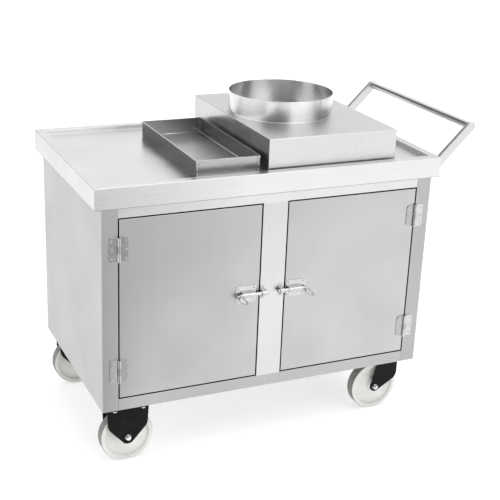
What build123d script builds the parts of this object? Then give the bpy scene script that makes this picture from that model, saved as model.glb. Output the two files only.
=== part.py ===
from build123d import *
import os
from math import sqrt

# Stainless popcorn cart: a two-door cabinet on four casters, a rimmed worktop with a push
# handle, and two loose pieces on top, a shallow tray and a riser that carries a round collar.
# Millimetres. X runs along the front towards the handle, Y towards the back, Z up from the
# ground. While building, x = 0 is the cabinet's middle and y = 0 is its front face. The whole
# cart is moved at the end so that its box stands centred on the origin.

# ---------------------------------------------------------------- driving dimensions
# cabinet
cabinet_width = 972.0
cabinet_depth = 576.0
skirt_height = 175.0
sheet = 1.5
post_width = 44.0
mullion_width = 72.0
sill_height = 208.5
head_height = 722.0
stop_lip = 8.0
stop_gap = 2.5
foot_cutout = 15.0
angle_leg = 20.0
gusset_thickness = 3.0
gusset_length = 135.0
gusset_width = 120.0
rivet_radius = 3.2
rivet_head = 1.2
rivet_rounding = 0.84
rivet_edge = 12.0
rivets_up = 5
rivets_across = 4

# worktop
worktop_height = 805.0
fascia_height = 58.0
fascia_return = 12.0
rim_width = 25.0
rim_rise = 12.5
fold_radius = 1.2
overhang_left = 18.0
overhang_right = 25.0
overhang_front = 3.0
overhang_back = 24.0
channel_width = 60.0
channel_height = 20.0
channel_flange = 12.0
channel_count = 3

# push handle
bar_radius = 11.0
bar_wall = 1.5
bar_reach = 101.0
bar_rise = 78.7
arm_width = 25.0
arm_thickness = 12.0
arm_front_inset = 12.0
arm_back_inset = 21.0

# doors
door_gap = 4.0
door_thickness = 20.0
liner_inset = 1.0
door_edge_rounding = 0.9

# hinges
hinge_height = 65.0
hinge_end_distance = 80.0
leaf_width = 25.5
leaf_thickness = 2.0
leaf_corner = 4.0
door_leaf_corner = 10.0
knuckle_radius = 4.5
knuckle_lift = 0.4
knuckle_gap = 0.3
pin_radius = 2.4
pin_clearance = 0.05
pin_head = 1.0
pin_head_radius = 3.8
hinge_screw_edge = 6.0
hinge_screw_end = 9.0

# door bolts
rod_radius = 4.75
rod_lift = 10.0
rod_clearance = 0.08
rod_overreach = 24.0
barrel_length = 58.0
barrel_height = 48.0
barrel_plate = 1.5
barrel_wall = 1.8
barrel_tube_inset = 4.0
barrel_screw_edge = 6.0
plate_corner = 3.0
barrel_setback = {"left": 10.0, "right": 3.0}
keeper_setback = {"left": 1.0, "right": 4.0}
keeper_length = 12.0
keeper_height = 38.0
keeper_clearance = 0.8
keeper_screw_edge = 5.0
eye_offset = 54.0
eye_drop = 5.0
eye_radius = 7.0
eye_hole = 3.6
eye_thickness = 3.0
rod_tip_rounding = 1.5
rod_tail_inset = 4.6
ring_radius = 15.0
ring_wire = 1.5
ring_lean = (0.685, -0.528, -0.502)
ring_normal = (0.43, -0.26, 0.86)
screw_radius = 2.9
screw_head = 1.1
screw_rounding = 0.66

# loose tray
tray_width = 183.0
tray_length = 431.0
tray_height = 44.5
tray_wall = 1.2
tray_hem = 7.0
tray_from_left = 276.5
tray_from_front = 57.5

# loose riser with its collar
riser_width = 390.0
riser_length = 540.0
riser_height = 94.0
riser_from_left = 474.0
riser_from_front = 31.0
collar_radius = 152.2
collar_wall = 2.0
collar_height = 60.0
collar_rounding = 0.6
collar_from_left = 640.8
collar_from_front = 319.5
weld_size = 3.0
weld_shoulder = 2.1

# casters
wheel_radius = 75.0
tread_width = 32.0
tread_corner = 4.0
rim_band = 14.0
dish_depth = 7.0
hub_radius = 20.0
hub_width = 40.0
hub_chamfer = 3.0
web_foot = 8.0
band_slope = 12.0
bush_radius = 9.0
axle_radius = 6.0
axle_nut_radius = 10.0
axle_nut = 7.0
axle_thread = 3.0
axle_clearance = 0.05
side_play = 0.5
fork_play = 1.5
fork_plate = 3.5
caster_plate = 4.0
caster_plate_length = 105.0
caster_plate_width = 85.0
caster_plate_corner = 6.0
bolt_spacing_x = 80.0
bolt_spacing_y = 66.0
bolt_radius = 4.0
bolt_head_radius = 7.0
bolt_head = 6.0
rigid_inset_x = 78.0
rigid_inset_y = 45.0
fork_half_width = 60.0
fork_shoulder_radius = 30.0
fork_shoulder_rise = 45.0
fork_shoulder_inset = 3.0
fork_boss_radius = 20.0
swivel_inset_x = 57.0
swivel_inset_y = 71.0
swivel_trail = 40.0
swivel_boss_radius = 15.0
swivel_shoulder_radius = 30.0
swivel_shoulder_rise = 42.0
crown_radius = 38.0
crown_flat_left = 36.0
crown_flat_right = 32.0
crown_clearance = 8.0
race_radius = 31.0
race_lip = 3.0
race_rounding = 1.0
race_gap = 0.3
kingpin_radius = 8.0
kingpin_head_radius = 13.0
kingpin_head = 6.5

# how far a cutting shape runs past the face that it cuts
spare = 1.0

# ---------------------------------------------------------------- derived places
left_x = -cabinet_width / 2
right_x = cabinet_width / 2
back_y = cabinet_depth
floor_top = sill_height - sheet
gusset_top = skirt_height + gusset_thickness
worktop_floor = worktop_height - rim_rise
frame_top = worktop_floor - sheet
worktop_left = left_x - overhang_left
worktop_right = right_x + overhang_right
worktop_front = -overhang_front
worktop_back = back_y + overhang_back
fascia_bottom = worktop_height - fascia_height
jamb_depth = door_thickness + stop_gap + sheet
opening_width = cabinet_width / 2 - post_width - mullion_width / 2
opening_middle_z = (sill_height + head_height) / 2
hinge_y = -knuckle_radius - knuckle_lift
bar_x = worktop_right + bar_reach
bar_z = worktop_height + bar_rise
arm_front_y = worktop_front + arm_front_inset
arm_back_y = worktop_back - arm_back_inset - arm_thickness
axle_z = wheel_radius
plate_bottom = skirt_height - caster_plate
fork_inner = hub_width / 2 + fork_play
fork_outer = fork_inner + fork_plate
crown_bottom = 2 * wheel_radius + crown_clearance
crown_top = crown_bottom + fork_plate
sides = {"left": -1, "right": 1}


# ---------------------------------------------------------------- helpers
def block(x0, x1, y0, y1, z0, z1):
    """A box between two corners."""
    middle = Pos((x0 + x1) / 2, (y0 + y1) / 2, (z0 + z1) / 2)
    return middle * Box(abs(x1 - x0), abs(y1 - y0), abs(z1 - z0))


def rod_x(radius, x0, x1, y, z):
    """A cylinder along X."""
    return Pos((x0 + x1) / 2, y, z) * Rot(0, 90, 0) * Cylinder(radius, abs(x1 - x0))


def rod_y(radius, y0, y1, x, z):
    """A cylinder along Y."""
    return Pos(x, (y0 + y1) / 2, z) * Rot(90, 0, 0) * Cylinder(radius, abs(y1 - y0))


def rod_z(radius, z0, z1, x, y):
    """A cylinder along Z."""
    return Pos(x, y, (z0 + z1) / 2) * Cylinder(radius, abs(z1 - z0))


def hexagon_y(radius, y0, y1, x, z):
    """A hexagonal nut or bolt head whose axis lies along Y."""
    nut = extrude(RegularPolygon(radius, 6), abs(y1 - y0))
    return Pos(x, max(y0, y1), z) * Rot(90, 0, 0) * nut


def hexagon_z(radius, z0, z1, x, y):
    """A hexagonal nut or bolt head whose axis lies along Z."""
    return Pos(x, y, min(z0, z1)) * extrude(RegularPolygon(radius, 6), abs(z1 - z0))


def angle_bar(length, leg):
    """An angle section along X: one leg stands on y = 0, the other hangs below z = 0."""
    flat = block(-length / 2, length / 2, 0, leg, -sheet, 0)
    upright = block(-length / 2, length / 2, 0, sheet, -leg, 0)
    return flat + upright


def face_screw(x, y, z):
    """The rounded head of a screw driven along +Y, proud of the face at y."""
    head = rod_y(screw_radius, y - screw_head, y, x, z)
    rim = head.edges().group_by(Axis.Y)[0]
    return fillet(rim, screw_rounding)


def outward(side, distance):
    """An x this far from the mullion side of a door opening towards its hinge side."""
    return sides[side] * (mullion_width / 2 + distance)


# ---------------------------------------------------------------- cabinet
def side_panel(side):
    """A flat outer side sheet, from the skirt up to the worktop."""
    outer = sides[side] * cabinet_width / 2
    inner = outer - sides[side] * sheet
    return block(outer, inner, 0, back_y, skirt_height, frame_top)


def back_panel():
    """The sheet between the two sides, flush with their back edges."""
    return block(left_x + sheet, right_x - sheet, back_y - sheet, back_y, skirt_height, frame_top)


def front_post(side):
    """A folded corner post: its face reaches the skirt, its two returns stop above the casters."""
    edge = sides[side] * (cabinet_width / 2 - sheet)
    jamb = sides[side] * (cabinet_width / 2 - post_width)
    inward = -sides[side] * sheet
    post = block(edge, jamb, 0, sheet, skirt_height, frame_top)
    returns_bottom = skirt_height + foot_cutout
    post += block(edge, edge + inward, 0, jamb_depth, returns_bottom, frame_top)
    post += block(jamb - inward, jamb, 0, jamb_depth, returns_bottom, frame_top)
    return post


def centre_mullion():
    """A hat section between the door openings, whose lips stop the doors."""
    half = mullion_width / 2
    mullion = block(-half, half, 0, sheet, sill_height, head_height)
    for side in (-1, 1):
        mullion += block(side * (half - sheet), side * half, 0, jamb_depth, sill_height, head_height)
        mullion += block(
            side * (half - sheet), side * (half + stop_lip),
            jamb_depth - sheet, jamb_depth, sill_height, head_height,
        )
    return mullion


def front_rail(face_bottom, face_top, return_bottom):
    """A rail between the posts: an upright face with one return behind the door edge."""
    half = cabinet_width / 2 - post_width
    rail = block(-half, half, 0, sheet, face_bottom, face_top)
    rail += block(-half, half, 0, jamb_depth, return_bottom, return_bottom + sheet)
    return rail


def floor_panel():
    """The cabinet floor, notched round the two posts."""
    top = floor_top
    panel = block(left_x + sheet, right_x - sheet, sheet, back_y - sheet, top - sheet, top)
    for side in (-1, 1):
        notch = side * (cabinet_width / 2 - post_width)
        panel -= block(notch, side * cabinet_width / 2, 0, jamb_depth, top - 2 * sheet, top + sheet)
    return panel


def frame_angles():
    """Straight angles that join the sheets: four under the top, four under the floor, two up the back."""
    long_bar = cabinet_width - 2 * post_width
    back_bar = cabinet_width - 2 * sheet
    side_bar = back_y - sheet - angle_leg - jamb_depth
    side_middle = jamb_depth + side_bar / 2
    bars = []
    for level in (frame_top, floor_top - sheet):
        bars.append(Pos(0, sheet, level) * angle_bar(long_bar, angle_leg))
        bars.append(Pos(0, back_y - sheet, level) * Rot(0, 0, 180) * angle_bar(back_bar, angle_leg))
        bars.append(Pos(left_x + sheet, side_middle, level) * Rot(0, 0, -90) * angle_bar(side_bar, angle_leg))
        bars.append(Pos(right_x - sheet, side_middle, level) * Rot(0, 0, 90) * angle_bar(side_bar, angle_leg))
    for side in (-1, 1):
        edge = side * (cabinet_width / 2 - sheet)
        inward = -side
        z0 = floor_top
        z1 = frame_top - angle_leg
        corner = block(edge, edge + inward * sheet, back_y - sheet - angle_leg, back_y - sheet, z0, z1)
        corner += block(edge, edge + inward * angle_leg, back_y - 2 * sheet, back_y - sheet, z0, z1)
        bars.append(corner)
    return bars


def caster_gussets():
    """Flat plates in the four lower corners that the casters bolt to."""
    plates = []
    for side in (-1, 1):
        edge = side * (cabinet_width / 2 - sheet)
        inner = edge - side * gusset_length
        for y0, y1 in ((sheet, sheet + gusset_width), (back_y - sheet - gusset_width, back_y - sheet)):
            plate = block(edge, inner, y0, y1, skirt_height, gusset_top)
            for x, y in bolt_points():
                plate -= rod_z(bolt_radius, skirt_height - spare, gusset_top + spare, x, y)
            plates.append(plate)
    return plates


def back_panel_rivets():
    """Domed rivets round the edge of the back panel."""
    half = cabinet_width / 2 - sheet - rivet_edge
    z0 = skirt_height + rivet_edge
    z1 = frame_top - rivet_edge
    spots = []
    for row in range(rivets_up):
        z = z0 + (z1 - z0) * row / (rivets_up - 1)
        spots += [(-half, z), (half, z)]
    for column in range(1, rivets_across):
        x = -half + 2 * half * column / rivets_across
        spots.append((x, z0))
    rivets = []
    for x, z in spots:
        head = rod_y(rivet_radius, back_y, back_y + rivet_head, x, z)
        rivets.append(fillet(head.edges().group_by(Axis.Y)[-1], rivet_rounding))
    return rivets


# ---------------------------------------------------------------- worktop and handle
def worktop():
    """One folded sheet: sunk floor, raised flat rim, deep fascia and a return along its bottom."""
    x0, x1 = worktop_left, worktop_right
    y0, y1 = worktop_front, worktop_back
    outer = block(x0, x1, y0, y1, fascia_bottom, worktop_height)
    folds = outer.edges().group_by(Axis.Z)[-1] + outer.edges().filter_by(Axis.Z)
    outer = fillet(folds, fold_radius)
    sunk = block(
        x0 + rim_width, x1 - rim_width, y0 + rim_width, y1 - rim_width,
        worktop_floor, worktop_height + spare,
    )
    under = block(
        x0 + sheet, x1 - sheet, y0 + sheet, y1 - sheet,
        fascia_bottom + sheet, worktop_height - sheet,
    )
    under -= block(
        x0 + rim_width - sheet, x1 - rim_width + sheet, y0 + rim_width - sheet, y1 - rim_width + sheet,
        worktop_floor - sheet, worktop_height,
    )
    throat = block(
        x0 + fascia_return, x1 - fascia_return, y0 + fascia_return, y1 - fascia_return,
        fascia_bottom - spare, fascia_bottom + 2 * sheet,
    )
    front_slot = block(
        x0 + fascia_return, x1 - fascia_return, y0 + sheet, y0 + 2 * fascia_return,
        fascia_bottom - spare, fascia_bottom + 2 * sheet,
    )
    cabinet_room = block(left_x, right_x, 0, back_y, fascia_bottom - spare, fascia_bottom + 2 * sheet)
    return outer - sunk - under - throat - front_slot - cabinet_room


def worktop_stiffeners():
    """Hat channels welded under the worktop, front to back."""
    y0 = sheet + angle_leg
    y1 = back_y - sheet - angle_leg
    pitch = cabinet_width / (channel_count + 1)
    bars = []
    half = channel_width / 2
    top = frame_top
    bottom = top - channel_height
    for index in range(channel_count):
        x = left_x + pitch * (index + 1)
        bar = block(x - half, x + half, y0, y1, bottom, bottom + sheet)
        for side in (-1, 1):
            inner = x + side * (half - sheet)
            bar += block(inner, x + side * half, y0, y1, bottom, top)
            bar += block(inner, x + side * (half + channel_flange), y0, y1, top - sheet, top)
        bars.append(bar)
    return bars


def handle_arm(y0):
    """A flat bar that climbs at 45 degrees from the fascia and ends round the crossbar."""
    length = (bar_reach + arm_width) * sqrt(2)
    bar = Pos(-length / 2, 0, 0) * Box(length, arm_width, arm_thickness)
    bar += Cylinder(arm_width / 2, arm_thickness)
    lean = Pos(bar_x, y0 + arm_thickness / 2, bar_z) * Rot(0, -45, 0) * Rot(90, 0, 0)
    keep = block(
        worktop_right, bar_x + arm_width, y0 - spare, y0 + arm_thickness + spare,
        fascia_bottom, bar_z + arm_width,
    )
    return (lean * bar) & keep


def handle_bar():
    """The round tube between the two arms."""
    y0 = arm_front_y + arm_thickness
    tube = rod_y(bar_radius, y0, arm_back_y, bar_x, bar_z)
    return tube - rod_y(bar_radius - bar_wall, y0, arm_back_y, bar_x, bar_z)


# ---------------------------------------------------------------- doors
def door_span(side):
    """The x of a door's hinge edge and of its free edge."""
    return outward(side, opening_width - door_gap), outward(side, door_gap)


def door_skin(side):
    """The outer pan of a door, with its four edges folded back."""
    x0, x1 = sorted(door_span(side))
    z0 = sill_height + door_gap
    z1 = head_height - door_gap
    pan = block(x0, x1, 0, door_thickness, z0, z1)
    pan = fillet(pan.edges().group_by(Axis.Y)[0], door_edge_rounding)
    return pan - block(x0 + sheet, x1 - sheet, sheet, door_thickness + spare, z0 + sheet, z1 - sheet)


def door_liner(side):
    """The inner sheet that closes a door's back."""
    x0, x1 = sorted(door_span(side))
    z0 = sill_height + door_gap + sheet
    z1 = head_height - door_gap - sheet
    y1 = door_thickness - liner_inset
    return block(x0 + sheet, x1 - sheet, y1 - sheet, y1, z0, z1)


def hinge_x(side):
    """The hinge axis lies in the middle of the gap beside the post."""
    return outward(side, opening_width - door_gap / 2)


def hinge_levels():
    """The middle height of each of a door's two hinges."""
    low = sill_height + door_gap + hinge_end_distance
    high = head_height - door_gap - hinge_end_distance
    return low, high


def hinge_leaf(side, z, on_door):
    """A surface leaf with rounded corners; the door's knuckle sits between the frame's two."""
    axis_x = hinge_x(side)
    away = -sides[side] if on_door else sides[side]
    low = z - hinge_height / 2
    high = z + hinge_height / 2
    door_low = z - hinge_height / 6
    door_high = z + hinge_height / 6
    plate = block(axis_x, axis_x + away * leaf_width, -leaf_thickness, 0, low, high)
    corners = plate.edges().filter_by(Axis.Y).sort_by(Axis.X)
    far_corners = corners[-2:] if away > 0 else corners[:2]
    plate = fillet(far_corners, door_leaf_corner if on_door else leaf_corner)
    if on_door:
        spans = [(door_low + knuckle_gap, door_high - knuckle_gap)]
        cut_spans = [(low - spare, door_low + knuckle_gap), (door_high - knuckle_gap, high + spare)]
        bore = pin_radius + pin_clearance
    else:
        spans = [(low, door_low), (door_high, high)]
        cut_spans = [(door_low, door_high)]
        bore = pin_radius
    room = knuckle_radius + knuckle_gap
    for z0, z1 in cut_spans:
        plate -= rod_z(room, z0, z1, axis_x, hinge_y)
        plate -= block(axis_x - away * spare, axis_x + away * room, -leaf_thickness - spare, spare, z0, z1)
    for z0, z1 in spans:
        plate += rod_z(knuckle_radius, z0, z1, axis_x, hinge_y)
        plate -= block(axis_x - leaf_width, axis_x + leaf_width, 0, knuckle_radius, z0, z1)
        plate -= rod_z(bore, z0 - spare, z1 + spare, axis_x, hinge_y)
    edge = door_gap / 2
    plate -= block(axis_x - edge, axis_x + edge, -knuckle_lift, spare, low - spare, high + spare)
    return plate


def hinge_pin(side, z):
    """The pin through all three knuckles, with a small flat head at each end."""
    half = hinge_height / 2
    pin = rod_z(pin_radius, z - half, z + half, hinge_x(side), hinge_y)
    for end in (-1, 1):
        pin += rod_z(pin_head_radius, z + end * half, z + end * (half + pin_head), hinge_x(side), hinge_y)
    return pin


def hinge_screw_spots(side, on_door):
    """Three screws to a leaf, in a line near its outer edge."""
    away = -sides[side] if on_door else sides[side]
    outer = hinge_x(side) + away * (leaf_width - hinge_screw_edge)
    reach = hinge_height / 2 - hinge_screw_end
    spots = []
    for z in hinge_levels():
        for step in (-1, 0, 1):
            spots.append((outer, z + step * reach))
    return spots


# ---------------------------------------------------------------- door bolts
def barrel_inner_x(side):
    """The end of the bolt's back plate nearest the mullion."""
    return outward(side, door_gap + barrel_setback[side])


def bolt_barrel(side):
    """The bolt's back plate with the rolled tube that the rod slides in."""
    x0 = barrel_inner_x(side)
    x1 = x0 + sides[side] * barrel_length
    z = opening_middle_z
    outer = rod_radius + rod_clearance + barrel_wall
    plate = block(x0, x1, -barrel_plate, 0, z - barrel_height / 2, z + barrel_height / 2)
    plate = fillet(plate.edges().filter_by(Axis.Y), plate_corner)
    tube0 = x0 + sides[side] * barrel_tube_inset
    tube1 = x0 + sides[side] * (eye_offset - eye_radius - barrel_tube_inset)
    barrel = rod_x(outer, tube0, tube1, -rod_lift, z)
    barrel += block(tube0, tube1, -rod_lift, -barrel_plate, z - outer, z + outer)
    barrel = plate + barrel
    room = rod_radius + rod_clearance
    return barrel - rod_x(room, x0 - barrel_length, x0 + barrel_length, -rod_lift, z)


def barrel_screw_spots(side):
    """Four screws in the corners of the back plate."""
    x0 = barrel_inner_x(side)
    reach = barrel_height / 2 - barrel_screw_edge
    spots = []
    for along in (barrel_screw_edge, barrel_length - barrel_screw_edge):
        for rise in (-1, 1):
            spots.append((x0 + sides[side] * along, opening_middle_z + rise * reach))
    return spots


def keeper_middle_x(side):
    """The middle of the staple on the mullion."""
    return outward(side, -keeper_setback[side] - keeper_length / 2)


def bolt_keeper(side):
    """The staple on the mullion that the rod enters."""
    x = keeper_middle_x(side)
    half = keeper_length / 2
    z = opening_middle_z
    room = rod_radius + keeper_clearance
    outer = room + barrel_wall
    keeper = block(x - half, x + half, -barrel_plate, 0, z - keeper_height / 2, z + keeper_height / 2)
    keeper = fillet(keeper.edges().filter_by(Axis.Y), plate_corner)
    keeper += rod_x(outer, x - half, x + half, -rod_lift, z)
    keeper += block(x - half, x + half, -rod_lift, -barrel_plate, z - outer, z + outer)
    keeper -= rod_x(room, x - keeper_length, x + keeper_length, -rod_lift, z)
    return keeper - block(x - keeper_length, x + keeper_length, -rod_lift, -barrel_plate, z - room, z + room)


def keeper_screw_spots(side):
    """One screw in each foot of a keeper."""
    reach = keeper_height / 2 - keeper_screw_edge
    return [(keeper_middle_x(side), opening_middle_z + rise * reach) for rise in (-1, 1)]


def eye_x(side):
    """The middle of the eye at a rod's outer end."""
    return barrel_inner_x(side) + sides[side] * eye_offset


def bolt_rod(side):
    """The sliding rod, with a rounded tip and a flat eye for its ring."""
    tip = outward(side, door_gap / 2 - rod_overreach)
    tail = eye_x(side) - sides[side] * rod_tail_inset
    rod = rod_x(rod_radius, tip, tail, -rod_lift, opening_middle_z)
    ends = rod.edges().group_by(Axis.X)
    rod = fillet(ends[0] if side == "right" else ends[-1], rod_tip_rounding)
    eye_z = opening_middle_z - eye_drop
    half = eye_thickness / 2
    eye = rod_y(eye_radius, -rod_lift - half, -rod_lift + half, eye_x(side), eye_z)
    hole = rod_y(eye_hole, -rod_lift - rod_radius - spare, -rod_lift + rod_radius + spare, eye_x(side), eye_z)
    return rod + eye - hole


def ring_pull(side):
    """A wire ring through the eye, hanging out from the door."""
    eye = Vector(eye_x(side), -rod_lift, opening_middle_z - eye_drop)
    lean = Vector(*ring_lean).normalized()
    plane = Plane(origin=eye + lean * ring_radius, x_dir=lean, z_dir=Vector(*ring_normal))
    return plane.location * Torus(ring_radius, ring_wire)


def screws_at(spots, y):
    """Screw heads at each (x, z) on a face at y."""
    return [face_screw(x, y, z) for x, z in spots]


# ---------------------------------------------------------------- loose pieces on the worktop
def tray():
    """A shallow open pan with a hemmed rim."""
    x0 = left_x + tray_from_left
    y0 = tray_from_front
    z1 = worktop_floor + tray_height
    outer = block(x0, x0 + tray_width, y0, y0 + tray_length, worktop_floor, z1)
    inner = block(
        x0 + tray_wall, x0 + tray_width - tray_wall, y0 + tray_wall, y0 + tray_length - tray_wall,
        worktop_floor + tray_wall, z1 + spare,
    )
    hem = block(
        x0 - tray_wall, x0 + tray_width + tray_wall, y0 - tray_wall, y0 + tray_length + tray_wall,
        z1 - tray_hem, z1,
    )
    return outer + hem - inner


def riser_box():
    """A folded box, open underneath, that stands on the worktop floor."""
    x0 = left_x + riser_from_left
    y0 = riser_from_front
    z1 = worktop_floor + riser_height
    box = block(x0, x0 + riser_width, y0, y0 + riser_length, worktop_floor, z1)
    box = fillet(box.edges().group_by(Axis.Z)[-1], fold_radius)
    return box - block(
        x0 + sheet, x0 + riser_width - sheet, y0 + sheet, y0 + riser_length - sheet,
        worktop_floor - spare, z1 - sheet,
    )


def collar_axis():
    """The x and y of the collar's middle."""
    return left_x + collar_from_left, collar_from_front


def collar():
    """The round collar welded on the riser, which a popper's base stands in."""
    x, y = collar_axis()
    z0 = worktop_floor + riser_height
    z1 = z0 + collar_height
    ring = rod_z(collar_radius, z0, z1, x, y)
    ring -= rod_z(collar_radius - collar_wall, z0 - spare, z1 + spare, x, y)
    return fillet(ring.edges().group_by(Axis.Z)[-1], collar_rounding)


def collar_weld():
    """The weld bead round the foot of the collar."""
    x, y = collar_axis()
    z0 = worktop_floor + riser_height
    bead = Polyline(
        (collar_radius, 0, z0), (collar_radius + weld_size, 0, z0),
        (collar_radius + weld_shoulder, 0, z0 + weld_shoulder), (collar_radius, 0, z0 + weld_size),
        close=True,
    )
    return Pos(x, y, 0) * revolve(make_face(bead), Axis.Z, 360)


# ---------------------------------------------------------------- casters
def caster_places():
    """Each caster's name, its mounting middle, its wheel's middle and whether it swivels."""
    places = {}
    for end, inset in (("front", 1), ("back", -1)):
        edge = 0 if end == "front" else back_y
        rigid = (left_x + rigid_inset_x, edge + inset * rigid_inset_y)
        swivel = (right_x - swivel_inset_x, edge + inset * swivel_inset_y)
        places["rigid_" + end] = (rigid, rigid, False)
        places["swivel_" + end] = (swivel, (swivel[0] - swivel_trail, swivel[1]), True)
    return places


def bolt_points():
    """The x and y of every mounting bolt."""
    points = []
    for mounting, _, _ in caster_places().values():
        for dx in (-bolt_spacing_x / 2, bolt_spacing_x / 2):
            for dy in (-bolt_spacing_y / 2, bolt_spacing_y / 2):
                points.append((mounting[0] + dx, mounting[1] + dy))
    return points


def caster_bolts():
    """Mounting bolts with their heads below the plate and their nuts above the gusset."""
    bolts = []
    for x, y in bolt_points():
        bolt = rod_z(bolt_radius, plate_bottom - bolt_head, gusset_top + bolt_head, x, y)
        bolt += hexagon_z(bolt_head_radius, plate_bottom - bolt_head, plate_bottom, x, y)
        bolt += hexagon_z(bolt_head_radius, gusset_top, gusset_top + bolt_head, x, y)
        bolts.append(bolt)
    return bolts


def mounting_plate(middle):
    """A caster's flat top plate with its four bolt holes."""
    x, y = middle
    plate = Box(caster_plate_length, caster_plate_width, caster_plate)
    plate = Pos(x, y, plate_bottom + caster_plate / 2) * plate
    plate = fillet(plate.edges().filter_by(Axis.Z), caster_plate_corner)
    for dx in (-bolt_spacing_x / 2, bolt_spacing_x / 2):
        for dy in (-bolt_spacing_y / 2, bolt_spacing_y / 2):
            plate -= rod_z(bolt_radius, plate_bottom - spare, skirt_height + spare, x + dx, y + dy)
    return plate


def leg_outline(top_left, top_right, top, shoulders, shoulder_radius, boss):
    """A fork leg's outline in its own plane, the axle at the origin: straight runs tangent to arcs."""
    edges = [Edge.make_line((top_left, top), (top_right, top))]
    edges.append(Edge.make_circle(boss))
    for x, z in shoulders:
        edges.append(Edge.make_circle(shoulder_radius, Plane(origin=(x, z, 0))))
    return make_hull(edges)


def fork_legs(wheel, outline):
    """Two legs of one outline, either side of a wheel."""
    x, y = wheel
    leg = extrude(outline, fork_plate)
    upright = Rot(90, 0, 0)
    near = Pos(x, y - fork_inner, axle_z) * upright * leg
    far = Pos(x, y + fork_outer, axle_z) * upright * leg
    bore = rod_y(axle_radius, y - 2 * fork_outer, y + 2 * fork_outer, x, axle_z)
    return near - bore, far - bore


def rigid_fork(middle):
    """A fixed fork: its two wide legs hang straight from the mounting plate."""
    drop = plate_bottom - axle_z
    shoulder_x = fork_half_width - fork_shoulder_radius - fork_shoulder_inset
    shoulders = [(-shoulder_x, fork_shoulder_rise), (shoulder_x, fork_shoulder_rise)]
    outline = leg_outline(
        -fork_half_width, fork_half_width, drop, shoulders, fork_shoulder_radius, fork_boss_radius,
    )
    near, far = fork_legs(middle, outline)
    x, y = middle
    wide = block(
        x - fork_half_width, x + fork_half_width, y - fork_outer, y + fork_outer,
        plate_bottom, skirt_height,
    )
    hole = rod_z(bolt_radius, plate_bottom - spare, skirt_height + spare, x, y)
    return mounting_plate(middle) + wide + near + far - hole


def swivel_fork(mounting, wheel):
    """A swivelling fork: a round crown under the race, and two legs that trail to the axle."""
    trail = mounting[0] - wheel[0]
    drop = crown_bottom - axle_z
    outline = leg_outline(
        trail - crown_flat_left, trail + crown_flat_right, drop,
        [(trail + crown_flat_right - swivel_shoulder_radius, swivel_shoulder_rise)],
        swivel_shoulder_radius, swivel_boss_radius,
    )
    near, far = fork_legs(wheel, outline)
    x, y = mounting
    crown = rod_z(crown_radius, crown_bottom, crown_top, x, y)
    shoulder = block(
        x - crown_flat_left, x + crown_flat_right, y - fork_outer, y + fork_outer, crown_bottom, crown_top,
    )
    hole = rod_z(kingpin_radius + axle_clearance, crown_bottom - spare, crown_top + spare, x, y)
    return crown + shoulder + near + far - hole


def swivel_race(mounting):
    """The lower cup of the ball race, on the fork's crown."""
    x, y = mounting
    top = plate_bottom - race_gap - (plate_bottom - crown_top) / 2
    cup = rod_z(race_radius, crown_top, top, x, y)
    cup = fillet(cup.edges().group_by(Axis.Z)[-1], race_rounding)
    return cup - rod_z(kingpin_radius + axle_clearance, crown_top - spare, top + spare, x, y)


def swivel_plate(mounting):
    """The mounting plate of a swivel caster, with the upper cup of the race pressed below it."""
    x, y = mounting
    bottom = plate_bottom - (plate_bottom - crown_top) / 2
    cup = rod_z(race_radius + race_lip, bottom, plate_bottom, x, y)
    cup = fillet(cup.edges().group_by(Axis.Z)[0], race_rounding)
    return mounting_plate(mounting) + cup - rod_z(kingpin_radius, bottom - spare, skirt_height + spare, x, y)


def kingpin(mounting):
    """The riveted pin that the fork turns on."""
    x, y = mounting
    head_top = crown_bottom - race_gap
    pin = rod_z(kingpin_radius, head_top - kingpin_head, skirt_height, x, y)
    return pin + hexagon_z(kingpin_head_radius, head_top - kingpin_head, head_top, x, y)


def axle(wheel):
    """The wheel's bolt: its nut and thread end on the near leg, its head on the far one."""
    x, y = wheel
    near = y - fork_outer
    far = y + fork_outer
    pin = rod_y(axle_radius, near - axle_nut - axle_thread, far, x, axle_z)
    pin += hexagon_y(axle_nut_radius, near - axle_nut, near, x, axle_z)
    pin += hexagon_y(axle_nut_radius, far, far + bolt_head, x, axle_z)
    return pin


def wheel_solid(wheel):
    """A moulded wheel: rounded tread, flat side bands, dished webs and a longer hub."""
    half = tread_width / 2
    web = half - dish_depth
    band = wheel_radius - rim_band
    half_hub = hub_width / 2
    points = [
        (bush_radius, half_hub), (hub_radius - hub_chamfer, half_hub), (hub_radius, web + hub_chamfer),
        (hub_radius + web_foot, web), (band - band_slope, web), (band, half), (wheel_radius, half),
    ]
    mirrored = [(r, -h) for r, h in reversed(points)]
    outline = make_face(Polyline(*points, *mirrored, close=True))
    corners = outline.vertices().group_by(Axis.X)[-1]
    outline = fillet(corners, tread_corner)
    solid = revolve(Plane.XZ * outline, Axis.Z, 360)
    return Pos(wheel[0], wheel[1], axle_z) * Rot(90, 0, 0) * solid


def bush(wheel):
    """The steel bush pressed into a wheel's hub."""
    x, y = wheel
    half = fork_inner - side_play
    outer = rod_y(bush_radius, y - half, y + half, x, axle_z)
    return outer - rod_y(axle_radius + axle_clearance, y - half - spare, y + half + spare, x, axle_z)


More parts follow.
